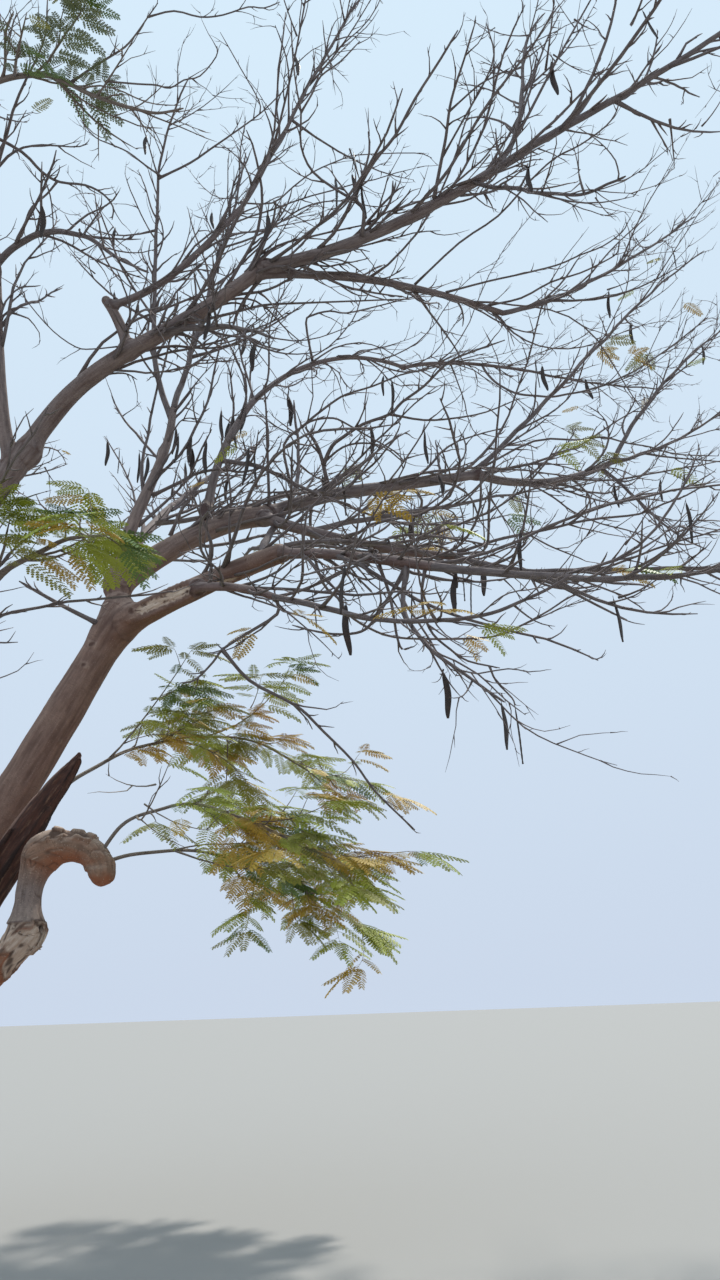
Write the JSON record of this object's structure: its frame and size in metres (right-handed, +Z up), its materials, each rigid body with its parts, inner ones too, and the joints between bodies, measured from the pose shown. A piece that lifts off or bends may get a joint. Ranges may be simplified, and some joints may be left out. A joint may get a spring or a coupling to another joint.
{
  "type": "bare flame tree",
  "caption": "Leaning roadside flame tree in the dry season: trunk with root flare, spreading kinked boughs, twig masses, long flat hanging pods, a broken stem and feathery leaf sprays.",
  "frame": {"origin": "middle of the flat cut under the trunk, at ground level", "axes": "+Z up; +X the way the trunk leans and the main boughs spread; +Y to the back of the tree as the reference view sees it"},
  "size_m": [13.3164, 7.2371, 11.7477],
  "materials": {
    "bark": "rough grey-brown bark",
    "pale_bark": "weathered grey bark, partly peeled",
    "torn_wood": "dark rotten wood",
    "twigs": "matt grey-brown twigs with dark pods",
    "leafy_twigs": "matt yellow-green leaves on thin twigs"
  },
  "bodies": {
    "root": {"trunk": "bark", "side_stem": "bark", "broken_stem": "pale_bark", "broken_stem_upper": "pale_bark", "broken_elbow": "pale_bark", "torn_wood": "torn_wood", "upright_bough": "bark", "lower_bough": "bark", "middle_bough": "bark", "far_arm": "bark", "far_arm_end": "bark", "near_arm": "bark", "rising_bough": "bark", "rising_arm": "bark", "lower_arm": "bark", "low_side_limb": "bark", "high_bough": "bark", "high_arm": "bark", "inner_arm": "bark", "elbow_stub": "bark", "elbow_bough": "bark", "tall_stem": "bark", "tall_stem_top": "bark", "back_bough": "bark", "left_bough": "bark", "back_left_bough": "bark", "leafy_limb": "bark", "far_upper_twigs": "twigs", "far_right_twigs": "twigs", "far_drooping_twigs": "twigs", "far_leader_twigs": "twigs", "near_tip_twigs": "twigs", "near_inner_twigs": "twigs", "lower_tip_twigs": "twigs", "hanging_twigs": "twigs", "lower_upright_twigs": "twigs", "sagging_twigs": "twigs", "rising_tip_twigs": "twigs", "rising_side_twigs": "twigs", "rising_drooping_twigs": "twigs", "upright_left_twigs": "twigs", "upright_right_twigs": "twigs", "high_tip_twigs": "twigs", "high_upper_twigs": "twigs", "high_drooping_twigs": "twigs", "inner_arm_twigs": "twigs", "high_low_twigs": "twigs", "elbow_bough_twigs": "twigs", "arching_twigs": "twigs", "overhanging_foliage": "leafy_twigs", "tall_stem_twigs": "twigs", "back_tip_twigs": "twigs", "back_side_twigs": "twigs", "left_tip_twigs": "twigs", "left_side_twigs": "twigs", "back_left_twigs": "twigs", "front_foliage": "leafy_twigs", "long_sprout_foliage": "leafy_twigs", "short_sprout_foliage": "leafy_twigs", "low_sprout_foliage": "leafy_twigs"}
  },
  "joints": []
}
